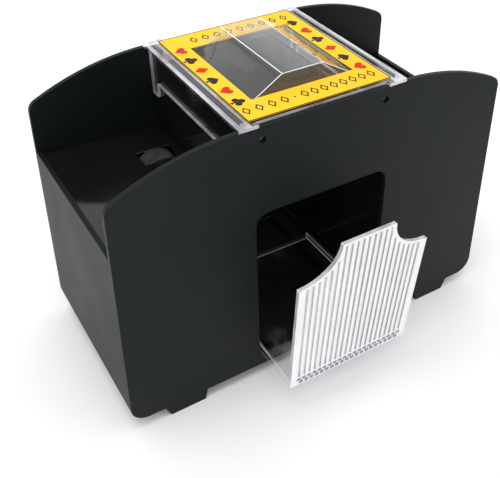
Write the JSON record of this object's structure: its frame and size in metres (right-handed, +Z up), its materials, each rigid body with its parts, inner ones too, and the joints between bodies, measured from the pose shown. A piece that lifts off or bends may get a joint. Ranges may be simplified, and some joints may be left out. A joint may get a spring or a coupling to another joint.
{
  "type": "automatic card shuffler",
  "caption": "Battery driven tabletop card shuffler with two side trays, powered feed rollers, a clear lift-off cover and a clear pull-out drawer.",
  "frame": {"origin": "on the surface it stands on, under the middle of the whole object's box with the drawer pulled out as at rest", "axes": "+X along the long side, from the left tray to the right tray; +Y from the drawer to the rear panel; +Z up"},
  "size_m": [0.2102, 0.1316, 0.1523],
  "materials": {
    "black_plastic": "satin",
    "gloss_black_plastic": "polished",
    "grey_inner_plastic": "satin",
    "clear_plastic": "clear, polished",
    "yellow_label": "laminated",
    "steel": "satin",
    "brass": "satin",
    "gear_plastic": "moulded",
    "rubber": "matt",
    "battery_jacket": "satin",
    "button_plastic": "moulded",
    "wire_insulation": "satin"
  },
  "bodies": {
    "chassis": {"base_plate": "black_plastic", "base_screw_front_left": "steel", "base_screw_front_right": "steel", "base_screw_rear_left": "steel", "base_screw_rear_right": "steel", "battery_box": "black_plastic", "battery_cell_1": "battery_jacket", "battery_cell_2": "battery_jacket", "battery_cell_3": "battery_jacket", "battery_cell_4": "battery_jacket", "battery_contact_inner": "steel", "battery_contact_outer": "steel", "battery_door": "black_plastic", "battery_door_screw": "steel", "bush_left_front": "brass", "bush_left_rear": "brass", "bush_right_front": "brass", "bush_right_rear": "brass", "button_spring": "steel", "card_gate_left": "gloss_black_plastic", "card_gate_right": "gloss_black_plastic", "card_tray_left": "gloss_black_plastic", "card_tray_right": "gloss_black_plastic", "drawer_rail_left": "black_plastic", "drawer_rail_right": "black_plastic", "drive_bracket_left": "grey_inner_plastic", "drive_bracket_right": "grey_inner_plastic", "housing": "black_plastic", "idler_axle_left": "steel", "idler_axle_right": "steel", "motor_left": "steel", "motor_right": "steel", "shaft_hanger_left": "grey_inner_plastic", "shaft_hanger_right": "grey_inner_plastic", "switch_body": "grey_inner_plastic", "well_wall_left": "gloss_black_plastic", "well_wall_right": "gloss_black_plastic", "wire_battery_switch": "wire_insulation", "wire_motor_left": "wire_insulation", "wire_switch_motor": "wire_insulation"},
    "drawer": {"drawer": "clear_plastic"},
    "cover": {"top_cover": "clear_plastic", "cover_label": "yellow_label"},
    "button": {"start_button": "button_plastic"},
    "feed_left": {"roller_shaft_left": "steel", "roller_gear_left": "gear_plastic", "feed_roller_left_front": "rubber", "feed_roller_left_rear": "rubber"},
    "idler_left": {"idler_gear_left": "gear_plastic"},
    "motor_rotor_left": {"motor_shaft_left": "steel", "motor_pinion_left": "brass"},
    "feed_right": {"roller_shaft_right": "steel", "roller_gear_right": "gear_plastic", "feed_roller_right_front": "rubber", "feed_roller_right_rear": "rubber"},
    "idler_right": {"idler_gear_right": "gear_plastic"},
    "motor_rotor_right": {"motor_shaft_right": "steel", "motor_pinion_right": "brass"}
  },
  "joints": [
    {"name": "drawer_slide", "type": "slide", "parent": "chassis", "child": "drawer", "axis": [0, -1, 0], "range_m": [-0.028, 0.04]},
    {"name": "cover_lift", "type": "slide", "parent": "chassis", "child": "cover", "axis": [0, 0, 1], "range_m": [0, 0.06]},
    {"name": "button_press", "type": "slide", "parent": "chassis", "child": "button", "axis": [0, -1, 0], "range_m": [0, 0.0014], "stiffness_N_per_m": 300},
    {"name": "feed_left_spin", "type": "hinge", "parent": "chassis", "child": "feed_left", "pos_m": [-0.052, 0.01617, 0.0915], "axis": [0, 1, 0], "continuous": true},
    {"name": "idler_left_spin", "type": "hinge", "parent": "chassis", "child": "idler_left", "pos_m": [-0.0575, 0.01617, 0.08363], "axis": [0, 1, 0], "continuous": true},
    {"name": "motor_left_spin", "type": "hinge", "parent": "chassis", "child": "motor_rotor_left", "pos_m": [-0.0575, 0.01617, 0.06923], "axis": [0, 1, 0], "continuous": true},
    {"name": "feed_right_spin", "type": "hinge", "parent": "chassis", "child": "feed_right", "pos_m": [0.052, 0.01617, 0.0915], "axis": [0, 1, 0], "continuous": true},
    {"name": "idler_right_spin", "type": "hinge", "parent": "chassis", "child": "idler_right", "pos_m": [0.0575, 0.01617, 0.08363], "axis": [0, 1, 0], "continuous": true},
    {"name": "motor_right_spin", "type": "hinge", "parent": "chassis", "child": "motor_rotor_right", "pos_m": [0.0575, 0.01617, 0.06923], "axis": [0, 1, 0], "continuous": true}
  ],
  "couplings": [
    {"joint": "idler_left_spin", "follows": "feed_left_spin", "ratio": -1.6667},
    {"joint": "motor_left_spin", "follows": "feed_left_spin", "ratio": 5},
    {"joint": "idler_right_spin", "follows": "feed_right_spin", "ratio": -1.6667},
    {"joint": "motor_right_spin", "follows": "feed_right_spin", "ratio": 5}
  ]
}
